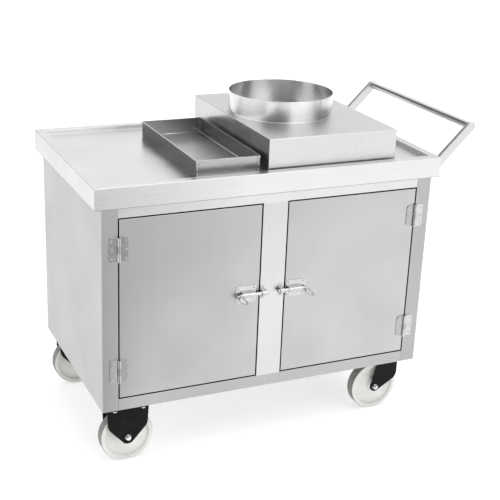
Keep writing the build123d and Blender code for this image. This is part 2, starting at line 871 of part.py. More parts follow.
# ---------------------------------------------------------------- assembly
def build_parts():
    """Every node by name: one solid, or a list of separate solids of one kind."""
    parts = {
        "back_panel": back_panel(),
        "floor_panel": floor_panel(),
        "centre_mullion": centre_mullion(),
        "top_rail": front_rail(head_height, frame_top, head_height),
        "bottom_rail": front_rail(skirt_height, sill_height, sill_height - sheet),
        "frame_angles": frame_angles(),
        "caster_gussets": caster_gussets(),
        "back_panel_rivets": back_panel_rivets(),
        "worktop": worktop(),
        "worktop_stiffeners": worktop_stiffeners(),
        "handle_front_arm": handle_arm(arm_front_y),
        "handle_back_arm": handle_arm(arm_back_y),
        "handle_bar": handle_bar(),
        "caster_bolts": caster_bolts(),
        "topping_tray": tray(),
        "riser_box": riser_box(),
        "riser_collar": collar(),
        "collar_weld": collar_weld(),
    }
    frame_leaves = []
    pins = []
    frame_screws = []
    keepers = []
    for side in sides:
        parts[side + "_side_panel"] = side_panel(side)
        parts[side + "_front_post"] = front_post(side)
        parts[side + "_door_skin"] = door_skin(side)
        parts[side + "_door_liner"] = door_liner(side)
        parts[side + "_door_leaves"] = [hinge_leaf(side, z, True) for z in hinge_levels()]
        parts[side + "_bolt_barrel"] = bolt_barrel(side)
        parts[side + "_bolt_rod"] = bolt_rod(side)
        parts[side + "_ring_pull"] = ring_pull(side)
        door_screws = screws_at(hinge_screw_spots(side, True), -leaf_thickness)
        door_screws += screws_at(barrel_screw_spots(side), -barrel_plate)
        parts[side + "_door_screws"] = door_screws
        frame_leaves += [hinge_leaf(side, z, False) for z in hinge_levels()]
        pins += [hinge_pin(side, z) for z in hinge_levels()]
        frame_screws += screws_at(hinge_screw_spots(side, False), -leaf_thickness)
        frame_screws += screws_at(keeper_screw_spots(side), -barrel_plate)
        keepers.append(bolt_keeper(side))
    parts["hinge_frame_leaves"] = frame_leaves
    parts["hinge_pins"] = pins
    parts["frame_screws"] = frame_screws
    parts["bolt_keepers"] = keepers
    swivel_plates = []
    kingpins = []
    rigid_axles = []
    for name, (mounting, wheel, swivels) in caster_places().items():
        parts[name + "_wheel"] = wheel_solid(wheel)
        parts[name + "_bush"] = bush(wheel)
        if swivels:
            parts[name + "_fork"] = swivel_fork(mounting, wheel)
            parts[name + "_race"] = swivel_race(mounting)
            parts[name + "_axle"] = axle(wheel)
            swivel_plates.append(swivel_plate(mounting))
            kingpins.append(kingpin(mounting))
        else:
            parts[name + "_fork"] = rigid_fork(mounting)
            rigid_axles.append(axle(wheel))
    parts["swivel_plates"] = swivel_plates
    parts["kingpins"] = kingpins
    parts["rigid_axles"] = rigid_axles
    return parts


def solids_of(part):
    """The separate solids of a node."""
    pieces = part if isinstance(part, list) else [part]
    return [solid for piece in pieces for solid in piece.solids()]


def centring(parts):
    """The move that stands the whole cart's box centred on the origin."""
    box = Compound([solid for part in parts.values() for solid in solids_of(part)]).bounding_box()
    middle = (box.min + box.max) / 2
    return Pos(-middle.X, -middle.Y, -box.min.Z)


def main():
    os.makedirs("parts", exist_ok=True)
    parts = build_parts()
    move = centring(parts)
    for name, part in parts.items():
        solids = [move * solid for solid in solids_of(part)]
        export_step(solids[0] if len(solids) == 1 else Compound(solids), "parts/" + name + ".step")


if __name__ == "__main__":
    main()
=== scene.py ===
"""The looks of a stainless-steel popcorn cart: materials, welds, screws, wheels, light and camera."""
from math import cos, hypot, pi, radians, sin

import bmesh
import bpy
from mathutils import Matrix, Vector


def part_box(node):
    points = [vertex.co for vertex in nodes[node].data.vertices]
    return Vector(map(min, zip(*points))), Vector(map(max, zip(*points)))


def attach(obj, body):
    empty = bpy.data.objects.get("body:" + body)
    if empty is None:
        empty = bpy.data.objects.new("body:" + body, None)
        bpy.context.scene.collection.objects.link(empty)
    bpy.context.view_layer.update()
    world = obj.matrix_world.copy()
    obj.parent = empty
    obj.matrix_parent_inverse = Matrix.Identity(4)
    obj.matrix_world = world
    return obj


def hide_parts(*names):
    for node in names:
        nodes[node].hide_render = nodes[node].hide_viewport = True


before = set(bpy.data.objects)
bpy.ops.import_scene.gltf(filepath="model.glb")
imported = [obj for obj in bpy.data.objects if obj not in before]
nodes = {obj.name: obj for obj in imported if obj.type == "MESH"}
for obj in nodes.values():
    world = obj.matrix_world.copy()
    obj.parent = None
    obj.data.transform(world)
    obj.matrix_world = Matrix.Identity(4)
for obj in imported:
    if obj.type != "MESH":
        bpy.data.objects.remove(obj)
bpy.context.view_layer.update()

# sizes that the CAD model's parts share, and which their boxes don't give
MM = 0.001
ARM_WIDTH = 25 * MM
RIM_WIDTH = 25 * MM
TRAY_WALL = 1.2 * MM
DOOR_GAP = 4 * MM
CASTER_PLATE = 4 * MM
FORK_PLAY = 1.5 * MM
FORK_PLATE = 3.5 * MM
# how close two points are that count as one, and how close to its axis a turned shape is closed
SAME_POINT = 1e-6
ON_AXIS = 1e-9
WHEELS = [kind + "_" + end + "_wheel" for kind in ("rigid", "swivel") for end in ("front", "back")]


# ---------------------------------------------------------------- places, all from the frame
def node_box(name):
    """The lowest and highest corner of a CAD node."""
    low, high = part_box(name)
    return Vector(low), Vector(high)


def middle(name):
    """The middle of a CAD node's box."""
    low, high = node_box(name)
    return (low + high) / 2


def islands(name):
    """The box of each separate solid in a CAD node, as (lowest corner, highest corner)."""
    mesh = bmesh.new()
    mesh.from_mesh(nodes[name].data)
    bmesh.ops.remove_doubles(mesh, verts=mesh.verts, dist=SAME_POINT)
    seen = set()
    boxes = []
    for start in mesh.verts:
        if start in seen:
            continue
        seen.add(start)
        group = [start]
        for vert in group:
            for edge in vert.link_edges:
                other = edge.other_vert(vert)
                if other not in seen:
                    seen.add(other)
                    group.append(other)
        low = Vector([min(v.co[i] for v in group) for i in range(3)])
        high = Vector([max(v.co[i] for v in group) for i in range(3)])
        boxes.append((low, high))
    mesh.free()
    return sorted(boxes, key=lambda box: tuple(box[0]))


# ---------------------------------------------------------------- shader helpers
BEVEL_SAMPLES = 4


class Tree:
    """An empty node tree, with one call per node."""

    def __init__(self, owner):
        owner.use_nodes = True
        self.tree = owner.node_tree
        self.tree.nodes.clear()

    def node(self, kind, settings=None, **inputs):
        """A node with its settings, and its inputs given as numbers or as other nodes' sockets."""
        made = self.tree.nodes.new(kind)
        for key, value in (settings or {}).items():
            setattr(made, key, value)
        for key, value in inputs.items():
            self.plug(made.inputs[key.replace("_", " ")], value)
        return made

    def plug(self, socket, value):
        """Links a socket, or sets its value."""
        if isinstance(value, bpy.types.NodeSocket):
            self.tree.links.new(value, socket)
        else:
            socket.default_value = value

    def math(self, operation, *values):
        """One arithmetic step."""
        made = self.node("ShaderNodeMath", {"operation": operation})
        for socket, value in zip(made.inputs, values):
            self.plug(socket, value)
        return made.outputs[0]

    def between(self, value, low, high, start=0.3, end=0.7):
        """Maps a value from start..end to low..high, held inside that range."""
        made = self.node("ShaderNodeMapRange", {"clamp": True})
        self.plug(made.inputs["Value"], value)
        made.inputs["From Min"].default_value = start
        made.inputs["From Max"].default_value = end
        made.inputs["To Min"].default_value = low
        made.inputs["To Max"].default_value = high
        return made.outputs[0]

    def vector(self, operation, first, second):
        """One step with vectors."""
        made = self.node("ShaderNodeVectorMath", {"operation": operation})
        self.plug(made.inputs[0], first)
        self.plug(made.inputs[1], second)
        return made.outputs["Value" if operation == "DOT_PRODUCT" else "Vector"]

    def split(self, vector):
        """The x, y and z of a vector."""
        return self.node("ShaderNodeSeparateXYZ", Vector=vector).outputs

    def noise(self, vector, scale=1.0, detail=3.0, roughness=0.55):
        """Fractal noise, mostly between 0.3 and 0.7."""
        made = self.node("ShaderNodeTexNoise", Vector=vector, Scale=scale, Detail=detail, Roughness=roughness)
        return made.outputs[0]

    def mix(self, amount, first, second):
        """A colour between two colours."""
        made = self.node("ShaderNodeMix", {"data_type": "RGBA"})
        self.plug(made.inputs[0], amount)
        self.plug(made.inputs[6], first)
        self.plug(made.inputs[7], second)
        return made.outputs[2]


class Shader(Tree):
    """A material with one surface shader."""

    def __init__(self, name):
        self.material = bpy.data.materials.new(name)
        super().__init__(self.material)
        self.surface = self.node("ShaderNodeBsdfPrincipled")
        self.node("ShaderNodeOutputMaterial", Surface=self.surface.outputs[0])

    def set(self, **inputs):
        """Inputs of the surface shader."""
        for key, value in inputs.items():
            self.plug(self.surface.inputs[key.replace("_", " ")], value)

    def place(self):
        """Where a point is on the object at rest."""
        return self.node("ShaderNodeTexCoord").outputs["Object"]

    def scaled(self, vector, scale):
        """A place stretched by a scale for each axis."""
        return self.node("ShaderNodeMapping", {"vector_type": "POINT"}, Vector=vector, Scale=scale).outputs[0]

    def rounded(self, radius):
        """The normal as it would be with its edges rounded by a radius."""
        return self.node("ShaderNodeBevel", {"samples": BEVEL_SAMPLES}, Radius=radius).outputs[0]

    def edge_wear_and_highlight(self, radius):
        """Close to 1 along edges and 0 on flat faces."""
        flat = self.node("ShaderNodeNewGeometry").outputs["Normal"]
        return self.between(self.vector("DOT_PRODUCT", self.rounded(radius), flat), 1.0, 0.0, 0.80, 0.995)

    def bump(self, height, strength, distance, radius=0.0):
        """A bumped normal over edges rounded by a radius."""
        made = self.node("ShaderNodeBump", Height=height, Strength=strength, Distance=distance)
        if radius:
            self.plug(made.inputs["Normal"], self.rounded(radius))
        return made.outputs[0]


def grey(value, warmth=0.0):
    """A near-neutral colour; warmth lifts red and lowers blue a little."""
    return (value * (1 + warmth), value, value * (1 - warmth), 1)


# ---------------------------------------------------------------- materials
GRAIN_FINE = 1400.0
GRAIN_LONG = 9.0
STREAKS_COARSER = 9
GRAIN_SHARE = 0.75
SMUDGE_SCALE = 6.0
GRAIN_BAND = (0.35, 0.65)
RING_STRETCH = 0.15
GRAIN_SLANT = (0.013, 0.021, 0.017)


def grain_scale(axis, coarser=1):
    """Noise scales for lines that run along one axis."""
    return [(GRAIN_LONG if axis == name else GRAIN_FINE) / coarser for name in "XYZ"]


def ring_place(shader, centre):
    """Places unrolled round a vertical axis: along the circle, height, and distance from the axis."""
    split = shader.split(shader.place())
    x = shader.math("SUBTRACT", split[0], centre.x)
    y = shader.math("SUBTRACT", split[1], centre.y)
    angle = shader.math("ARCTAN2", y, x)
    squares = shader.math("ADD", shader.math("MULTIPLY", x, x), shader.math("MULTIPLY", y, y))
    along = shader.math("MULTIPLY", angle, RING_STRETCH)
    return shader.node("ShaderNodeCombineXYZ", X=along, Y=split[2], Z=shader.math("SQRT", squares)).outputs[0]


def across_grain(shader, axis, centre):
    """The direction that the grain spreads reflections in: across the grain, in the surface.

    A straight grain leans a little off its axis, so no flat face is square to it.
    """
    if centre:
        grain = shader.vector("CROSS_PRODUCT", (0, 0, 1), shader.vector("SUBTRACT", shader.place(), centre))
    else:
        grain = [1.0 if axis == name else offset for name, offset in zip("XYZ", GRAIN_SLANT)]
    settings = {"vector_type": "VECTOR", "convert_from": "OBJECT", "convert_to": "WORLD"}
    turned = shader.node("ShaderNodeVectorTransform", settings, Vector=grain).outputs[0]
    return shader.vector("CROSS_PRODUCT", shader.node("ShaderNodeNewGeometry").outputs["Normal"], turned)


def brushed(
    name, axis="X", tone=0.55, rough=0.32, contrast=0.035,
    centre=None, edge=0.0014, spread=0.6, top_rough=0.0,
):
    """Brushed stainless steel: long grain lines, faint smudges, and a painted highlight along its edges.

    The grain runs along an axis, or in rings round a centre. Faces that look up may be finished
    coarser by top_rough.
    """
    shader = Shader(name)
    where = ring_place(shader, centre) if centre else shader.place()
    grain = shader.noise(shader.scaled(where, grain_scale(axis)), detail=2.0)
    streaks = shader.noise(shader.scaled(where, grain_scale(axis, STREAKS_COARSER)), detail=2.0)
    smudge = shader.noise(shader.place(), SMUDGE_SCALE, 4.0)
    fine = shader.math("MULTIPLY", grain, GRAIN_SHARE)
    lines = shader.math("ADD", fine, shader.math("MULTIPLY", streaks, 1 - GRAIN_SHARE))
    dark = grey(tone * (1 - contrast), 0.004)
    light = grey(tone * (1 + contrast), 0.004)
    body = shader.mix(shader.between(lines, 0.0, 1.0, *GRAIN_BAND), dark, light)
    cloudy = shader.mix(shader.between(smudge, 0.0, 0.5), body, grey(tone * 0.93, 0.006))
    # painted highlight: the edges are mixed towards a much lighter grey
    edge_rub_and_highlight = shader.math("MULTIPLY", shader.edge_wear_and_highlight(edge * 1.5), 0.8)
    base_rough = shader.between(smudge, rough * 0.88, rough * 1.18)
    if top_rough:
        facing = shader.split(shader.node("ShaderNodeTexCoord").outputs["Normal"])
        coarser = shader.between(facing[2], 0.0, top_rough, 0.5, 0.95)
        base_rough = shader.math("ADD", base_rough, coarser)
    fine_rough = shader.between(lines, -0.025, 0.025, *GRAIN_BAND)
    shader.set(
        Base_Color=shader.mix(edge_rub_and_highlight, cloudy, grey(min(0.95, tone * 1.5))), Metallic=1.0,
        Roughness=shader.math("ADD", base_rough, fine_rough),
        Anisotropic=spread, Tangent=across_grain(shader, axis, centre),
        Normal=shader.bump(lines, 0.08, 0.0001, edge),
    )
    return shader.material


def polished(name, tone=0.60, rough=0.17):
    """Polished plated steel with fine swirl marks and a painted highlight along its edges."""
    shader = Shader(name)
    swirl = shader.noise(shader.place(), 260.0, 4.0, 0.65)
    haze = shader.noise(shader.place(), 40.0, 3.0)
    body = shader.mix(shader.between(haze, 0.0, 1.0), grey(tone * 0.88, 0.01), grey(tone, 0.004))
    # painted highlight: the edges are mixed towards a near-white grey
    edge_worn_and_highlit = shader.mix(shader.math("MULTIPLY", shader.edge_wear_and_highlight(0.0008), 0.7), body, grey(0.93))
    shader.set(
        Base_Color=edge_worn_and_highlit, Metallic=1.0, Roughness=shader.between(swirl, rough * 0.7, rough * 1.6),
        Normal=shader.bump(swirl, 0.05, 0.0002, 0.0005),
    )
    return shader.material


def zinc(name):
    """Zinc-plated steel: satin, faintly spangled, a little blue."""
    shader = Shader(name)
    spangle = shader.node("ShaderNodeTexVoronoi", Vector=shader.place(), Scale=420.0).outputs["Distance"]
    haze = shader.noise(shader.place(), 90.0, 3.0)
    body = shader.mix(shader.between(haze, 0.0, 1.0), (0.52, 0.54, 0.56, 1), (0.72, 0.73, 0.73, 1))
    shader.set(
        Base_Color=body, Metallic=1.0, Roughness=shader.between(spangle, 0.22, 0.42, 0.0, 0.9),
        Normal=shader.bump(spangle, 0.06, 0.0002, 0.0004),
    )
    return shader.material


def black_paint(name):
    """Black paint on pressed steel: slight orange peel, patches of dust, and edges rubbed to grey."""
    shader = Shader(name)
    peel = shader.noise(shader.place(), 700.0, 2.0)
    dust = shader.noise(shader.place(), 30.0, 5.0, 0.65)
    dusty = shader.between(dust, 0.0, 1.0, 0.45, 0.8)
    body = shader.mix(dusty, grey(0.003), (0.010, 0.010, 0.009, 1))
    edge_rub_and_highlight = shader.math("MULTIPLY", shader.edge_wear_and_highlight(0.0010), shader.between(dust, 0.0, 0.9, 0.42, 0.6))
    edge_worn_and_highlit = shader.mix(edge_rub_and_highlight, body, grey(0.10))
    shader.set(
        Base_Color=edge_worn_and_highlit, Metallic=0.0, Roughness=shader.between(dust, 0.25, 0.45),
        Specular_IOR_Level=0.14, Normal=shader.bump(peel, 0.12, 0.0003, 0.0008),
    )
    return shader.material


def nylon(name):
    """Moulded white nylon: soft sheen, fine moulding texture, and darker in patches towards its bottom."""
    shader = Shader(name)
    fine = shader.noise(shader.place(), 900.0, 2.0)
    cloud = shader.noise(shader.place(), 22.0, 5.0, 0.6)
    body = shader.mix(shader.between(cloud, 0.0, 1.0), (0.78, 0.78, 0.75, 1), (0.88, 0.88, 0.86, 1))
    height = shader.split(shader.place())[2]
    # darker in patches below 35 mm
    low = shader.between(height, 0.55, 0.0, 0.0, 35 * MM)
    low_darkening = shader.math("MULTIPLY", low, shader.between(cloud, 0.1, 0.9))
    darkened_low = shader.mix(low_darkening, body, (0.42, 0.41, 0.38, 1))
    shader.set(
        Base_Color=darkened_low, Roughness=shader.between(cloud, 0.32, 0.48), Specular_IOR_Level=0.5,
        Subsurface_Weight=0.08, Subsurface_Scale=0.004,
        Normal=shader.bump(fine, 0.08, 0.0003),
    )
    return shader.material


def dark_joint(name):
    """The shadowed line of a seam: oxidised steel."""
    shader = Shader(name)
    grain = shader.noise(shader.place(), 300.0, 3.0)
    body = shader.mix(shader.between(grain, 0.0, 1.0), grey(0.10, 0.02), grey(0.20, 0.01))
    shader.set(
        Base_Color=body, Metallic=0.7, Roughness=shader.between(grain, 0.45, 0.7),
        Normal=shader.bump(grain, 0.2, 0.0002),
    )
    return shader.material


def gap_shade_black(name):
    """Near-black and rubber-like, with a dusty bloom: the strips of painted shade in the door gaps."""
    shader = Shader(name)
    bloom = shader.noise(shader.place(), 120.0, 4.0)
    body = shader.mix(shader.between(bloom, 0.0, 1.0), grey(0.004), grey(0.014))
    shader.set(
        Base_Color=body, Roughness=shader.between(bloom, 0.6, 0.8), Specular_IOR_Level=0.1,
        Normal=shader.bump(bloom, 0.1, 0.0002),
    )
    return shader.material


def tread_grime(name):
    """Nylon of the tread, scuffed and grey from the floor."""
    shader = Shader(name)
    scuff = shader.noise(shader.place(), 160.0, 5.0, 0.65)
    body = shader.mix(shader.between(scuff, 0.0, 1.0), (0.16, 0.16, 0.15, 1), (0.34, 0.34, 0.32, 1))
    shader.set(
        Base_Color=body, Roughness=shader.between(scuff, 0.45, 0.7), Specular_IOR_Level=0.4,
        Normal=shader.bump(scuff, 0.2, 0.0004),
    )
    return shader.material


def weld(name, tone=0.82):
    """A cleaned weld bead: satin, faintly straw-tinted in places."""
    shader = Shader(name)
    ripple = shader.noise(shader.place(), 500.0, 3.0)
    tint = shader.noise(shader.place(), 60.0, 2.0)
    body = shader.mix(shader.between(tint, 0.0, 1.0), grey(tone, 0.0), (tone, tone * 0.98, tone * 0.94, 1))
    shader.set(
        Base_Color=body, Metallic=1.0, Roughness=shader.between(ripple, 0.25, 0.45),
        Normal=shader.bump(ripple, 0.15, 0.0003),
    )
    return shader.material


# ---------------------------------------------------------------- mesh helpers
def placed(name, mesh, material, smooth=False):
    """Turns a bmesh into an object of the scene."""
    data = bpy.data.meshes.new(name)
    mesh.to_mesh(data)
    mesh.free()
    for polygon in data.polygons:
        polygon.use_smooth = smooth
    data.materials.append(material)
    made = bpy.data.objects.new(name, data)
    bpy.context.scene.collection.objects.link(made)
    return made


def finish_piece(name, mesh, material, body, smooth=True):
    """Turns a bmesh into a piece that rides on a body."""
    bmesh.ops.recalc_face_normals(mesh, faces=mesh.faces)
    made = placed(name, mesh, material, smooth)
    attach(made, body)
    return made


def sharp_by_angle(made, degrees=35):
    """Keeps edges steeper than an angle crisp on a smooth piece."""
    mesh = bmesh.new()
    mesh.from_mesh(made.data)
    for edge in mesh.edges:
        edge.smooth = len(edge.link_faces) == 2 and edge.calc_face_angle() < radians(degrees)
    mesh.to_mesh(made.data)
    mesh.free()


def lathe(mesh, outline, place, steps=64, closed=True):
    """Adds a turned shape.

    The outline is (radius, along) points, and place maps the z axis to the turning axis.
    """
    rings = []
    for radius, along in outline:
        if radius < ON_AXIS:
            rings.append([mesh.verts.new(place @ Vector((0, 0, along)))])
            continue
        ring = []
        for step in range(steps):
            angle = 2 * pi * step / steps
            ring.append(mesh.verts.new(place @ Vector((radius * cos(angle), radius * sin(angle), along))))
        rings.append(ring)
    pairs = list(zip(rings, rings[1:]))
    if closed:
        pairs.append((rings[-1], rings[0]))
    for first, second in pairs:
        for step in range(steps):
            after = (step + 1) % steps
            if len(first) == 1 and len(second) == 1:
                continue
            if len(first) == 1:
                mesh.faces.new((first[0], second[step], second[after]))
            elif len(second) == 1:
                mesh.faces.new((first[step], first[after], second[0]))
            else:
                mesh.faces.new((first[step], first[after], second[after], second[step]))


def arc(centre, radius, start, end, steps):
    """Points on an arc, angles in degrees."""
    points = []
    for step in range(steps + 1):
        angle = radians(start + (end - start) * step / steps)
        points.append((centre[0] + radius * cos(angle), centre[1] + radius * sin(angle)))
    return points


def bead(mesh, path, radius, ripple=0.18, pitch=2.2 * MM, sides=10):
    """Adds a weld bead along a path: a round string whose radius ripples like a stacked weld."""
    last = len(path) - 1
    travelled = 0.0
    rings = []
    for index, point in enumerate(path):
        before = path[max(index - 1, 0)]
        after = path[min(index + 1, last)]
        along = (after - before).normalized()
        travelled += (point - before).length
        across = along.orthogonal().normalized()
        up = along.cross(across)
        swell = radius * (1 + ripple * sin(2 * pi * travelled / pitch))
        ring = []
        for side in range(sides):
            angle = 2 * pi * side / sides
            ring.append(mesh.verts.new(point + (across * cos(angle) + up * sin(angle)) * swell))
        rings.append(ring)
    for first, second in zip(rings, rings[1:]):
        shift = min(range(sides), key=lambda s: (first[0].co - second[s].co).length)
        for side in range(sides):
            a, b = first[side], first[(side + 1) % sides]
            c, d = second[(side + 1 + shift) % sides], second[(side + shift) % sides]
            mesh.faces.new((a, b, c, d))
    mesh.faces.new(rings[0])
    mesh.faces.new(list(reversed(rings[-1])))


def circle(centre, first, second, count):
    """Points once round a circle and back to the first; first and second are its two radii as vectors."""
    angles = [2 * pi * step / count for step in range(count + 1)]
    return [centre + first * cos(angle) + second * sin(angle) for angle in angles]


def rectangle(x0, y0, x1, y1, z):
    """The four corners of a level rectangle, and the first again."""
    return [Vector((x, y, z)) for x, y in ((x0, y0), (x1, y0), (x1, y1), (x0, y1), (x0, y0))]


def divided(corners, spacing):
    """Points at an even spacing along straight runs between corners."""
    points = []
    for start, end in zip(corners, corners[1:]):
        steps = max(1, round((end - start).length / spacing))
        for step in range(steps):
            points.append(start.lerp(end, step / steps))
    points.append(corners[-1])
    return points


def strip(mesh, start, end, width, normal, proud):
    """Adds a thin raised strip from start to end on a face with that normal."""
    along = (end - start).normalized()
    across = along.cross(normal).normalized() * width / 2
    lift = normal.normalized() * proud
    low = [start - across, start + across, end + across, end - across]
    bottom = [mesh.verts.new(point - lift) for point in low]
    top = [mesh.verts.new(point + lift) for point in low]
    mesh.faces.new(list(reversed(bottom)))
    mesh.faces.new(top)
    for index in range(4):
        after = (index + 1) % 4
        mesh.faces.new((bottom[index], bottom[after], top[after], top[index]))


# ---------------------------------------------------------------- screws, nuts and rivets
FACING_FRONT = Matrix.Rotation(radians(90), 4, "X")
FACING_BACK = Matrix.Rotation(radians(-90), 4, "X")
# a screw's recess as shares of its head's radius, its dome as shares of its height
RECESS_ARM = 0.16
RECESS_REACH = 0.62
RECESS_DEPTH = 0.9
DOME_DROP = 0.75
DOME_POWER = 2.4
SCREW_TURN = 1.1
# a nut's bearing face as a share of its width, and where its chamfer starts
NUT_BEARING = 0.97
NUT_SHOULDER = 0.90
NUT_CHAMFER = 0.5
THREAD_ROOT = 0.86
THREAD_TIP = 0.80


def cross_recess(x, y, radius):
    """How deep, from 0 to 1, a cross-head recess is at a point of the head."""
    arm = radius * RECESS_ARM
    reach = radius * RECESS_REACH
    across = min(abs(x), abs(y))
    along = max(abs(x), abs(y))
    if along > reach:
        return 0.0
    side = max(0.0, 1 - max(0.0, across - arm * 0.6) / (arm * 0.8))
    return side * (1 - (along / reach) ** 3)


def screw_head(mesh, centre, radius, height, place, rings=12, steps=32):
    """Adds a domed cross-head screw; place turns the z axis to face out of the surface."""
    move = Matrix.Translation(centre) @ place
    points = []
    for ring in range(rings + 1):
        share = ring / rings
        distance = radius * share
        dome = height * (1 - share ** DOME_POWER * DOME_DROP)
        row = []
        for step in range(steps):
            angle = 2 * pi * step / steps
            x, y = distance * cos(angle), distance * sin(angle)
            depth = cross_recess(x, y, radius) * height * RECESS_DEPTH
            row.append(mesh.verts.new(move @ Vector((x, y, dome - depth))))
            if ring == 0:
                break
        points.append(row)
    skirt = []
    for step in range(steps):
        angle = 2 * pi * step / steps
        skirt.append(mesh.verts.new(move @ Vector((radius * cos(angle), radius * sin(angle), 0))))
    points.append(skirt)
    for first, second in zip(points, points[1:]):
        for step in range(steps):
            after = (step + 1) % steps
            if len(first) == 1:
                mesh.faces.new((first[0], second[step], second[after]))
            else:
                mesh.faces.new((first[step], second[step], second[after], first[after]))
    mesh.faces.new(skirt)


def screws(name, node, body, material):
    """Cross-head screws in place of a CAD node's plain heads."""
    mesh = bmesh.new()
    for index, (low, high) in enumerate(islands(node)):
        size = high - low
        turn = Matrix.Rotation(index * SCREW_TURN, 4, "Z")
        centre = Vector(((low.x + high.x) / 2, high.y, (low.z + high.z) / 2))
        screw_head(mesh, centre, size.x / 2, size.y, FACING_FRONT @ turn)
    made = finish_piece(name, mesh, material, body)
    sharp_by_angle(made, 50)
    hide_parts(node)
    return made


def hexagon(radius, angle):
    """The distance from a hexagon's middle to its edge at an angle, its corners at the radius."""
    sector = (angle % (pi / 3)) - pi / 6
    return radius * cos(pi / 6) / cos(sector)


def hex_head(mesh, centre, radius, height, place, steps=48):
    """Adds a chamfered hexagonal nut or head that stands along the place's z axis."""
    move = Matrix.Translation(centre) @ place
    flat = radius * cos(pi / 6)
    levels = [(0.0, False), (0.0, True), (height * NUT_SHOULDER, True), (height, False)]
    rows = []
    for along, full in levels:
        row = []
        for step in range(steps):
            angle = 2 * pi * step / steps
            reach = hexagon(radius, angle) if full else flat * NUT_BEARING
            drop = 0.0
            if full and along > 0:
                drop = (reach - flat) * NUT_CHAMFER
            row.append(mesh.verts.new(move @ Vector((reach * cos(angle), reach * sin(angle), along - drop))))
        rows.append(row)
    for first, second in zip(rows, rows[1:]):
        for step in range(steps):
            after = (step + 1) % steps
            mesh.faces.new((first[step], first[after], second[after], second[step]))
    mesh.faces.new(list(reversed(rows[0])))
    mesh.faces.new(rows[-1])


def washer(mesh, centre, radius, thickness, place):
    """Adds a round washer with a softened rim."""
    soft = thickness * 0.3
    rim = [(radius - soft, 0), (radius, soft), (radius, thickness - soft), (radius - soft, thickness)]
    outline = [(0, 0), *rim, (0, thickness)]
    lathe(mesh, outline, Matrix.Translation(centre) @ place, 48, closed=False)


def threaded_end(mesh, centre, radius, length, place, pitch=1.5 * MM):
    """Adds the ridged end of a bolt."""
    outline = [(0, 0)]
    ridges = max(1, round(length / pitch))
    for ridge in range(ridges):
        along = length * ridge / ridges
        outline += [(radius * THREAD_ROOT, along), (radius, along + length / ridges / 2)]
    outline += [(radius * THREAD_TIP, length), (0, length)]
    lathe(mesh, outline, Matrix.Translation(centre) @ place, 32, closed=False)


AXLE_HEX = 0.74
AXLE_BOLT = 0.6
AXLE_BARE_END = 6.5 * MM
AXLE_WASHER = 1.4 * MM
AXLE_NUT = 6.0 * MM
SHORTEST_THREAD = 1.0 * MM


def fork_face(centre, sign):
    """The y of the outer face of a fork, on one side of the wheel nearest an axle's middle."""
    nearest = min(WHEELS, key=lambda name: (middle(name) - centre).length)
    low, high = node_box("swivel_front_wheel")
    hub_half = (high.y - low.y) / 2
    return middle(nearest).y + sign * (hub_half + FORK_PLAY + FORK_PLATE)


def axle_piece(name, node, body, material):
    """An axle bolt with washers, a hexagonal head and a nut on its threaded end."""
    mesh = bmesh.new()
    for low, high in islands(node):
        centre = (low + high) / 2
        hex_radius = (high.x - low.x) / 2 * AXLE_HEX
        bolt = hex_radius * AXLE_BOLT
        leg = (high.y - low.y) * 0.5 - AXLE_BARE_END
        outline = [(0, -leg), (bolt, -leg), (bolt, leg), (0, leg)]
        lathe(mesh, outline, Matrix.Translation(centre) @ FACING_FRONT, 40, closed=False)
        for end, place, sign in ((low.y, FACING_FRONT, -1), (high.y, FACING_BACK, 1)):
            face = fork_face(centre, sign)
            seat = Vector((centre.x, face, centre.z))
            washer(mesh, seat, hex_radius * 1.1, AXLE_WASHER, place)
            nut_height = min(AXLE_NUT, abs(end - face) - AXLE_WASHER)
            seat.y = face + sign * AXLE_WASHER
            hex_head(mesh, seat, hex_radius, nut_height, place)
            seat.y = face + sign * (AXLE_WASHER + nut_height)
            spare = abs(end - seat.y)
            if spare > SHORTEST_THREAD:
                threaded_end(mesh, seat, bolt, spare, place)
    made = finish_piece(name, mesh, material, body)
    sharp_by_angle(made, 30)
    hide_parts(node)
    return made


# ---------------------------------------------------------------- wheels
TREAD_HALF = 16 * MM
TREAD_EDGE = 1.2 * MM


def wheel_outline(radius, hub_half):
    """Half of a wheel's section, from the hub's bore to the middle of its tread."""
    bore = 9 * MM
    band = radius - 13 * MM
    web = TREAD_HALF - 7 * MM
    hub, hub_soft = 17 * MM, 2.5 * MM
    foot = 4 * MM
    web_start, web_dish = 30 * MM, 0.8 * MM
    shoulder = 5 * MM
    tread_soft = 4 * MM
    outline = [(bore, 0), (bore, hub_half - 0.6 * MM), (bore + 0.8 * MM, hub_half), (hub, hub_half)]
    outline += arc((hub, hub_half - hub_soft), hub_soft, 90, 0, 4)
    outline.append((20.5 * MM, web + foot))
    outline += arc((20.5 * MM + foot, web + foot), foot, 180, 270, 5)
    for share in (0.25, 0.5, 0.75):
        outline.append((web_start + (band - 34 * MM) * share, web - web_dish * sin(pi * share)))
    outline += arc((band - shoulder, web + shoulder), shoulder, 270, 330, 4)
    outline += [(band + 0.5 * MM, TREAD_HALF - 0.9 * MM), (band + 2.0 * MM, TREAD_HALF - 0.1 * MM)]
    outline.append((radius - 5 * MM, TREAD_HALF))
    outline += arc((radius - tread_soft, TREAD_HALF - tread_soft), tread_soft - 0.01 * MM, 90, 8, 6)
    outline.append((radius - 0.01 * MM, TREAD_HALF * 0.5))
    return outline


def wheel(node, material, tread):
    """A moulded wheel with a dished web, in place of its CAD node."""
    low, high = node_box(node)
    centre = (low + high) / 2
    radius = (high.z - low.z) / 2
    half = wheel_outline(radius, (high.y - low.y) / 2)
    other = [(r, -along) for r, along in reversed(half[1:])]
    mesh = bmesh.new()
    lathe(mesh, half + other, Matrix.Translation(centre) @ FACING_FRONT, 128)
    made = finish_piece(node + "_moulded", mesh, material, node)
    made.data.materials.append(tread)
    for polygon in made.data.polygons:
        away = polygon.center - centre
        if hypot(away.x, away.z) > radius - TREAD_EDGE:
            polygon.material_index = 1
    sharp_by_angle(made, 40)
    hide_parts(node)
    return made


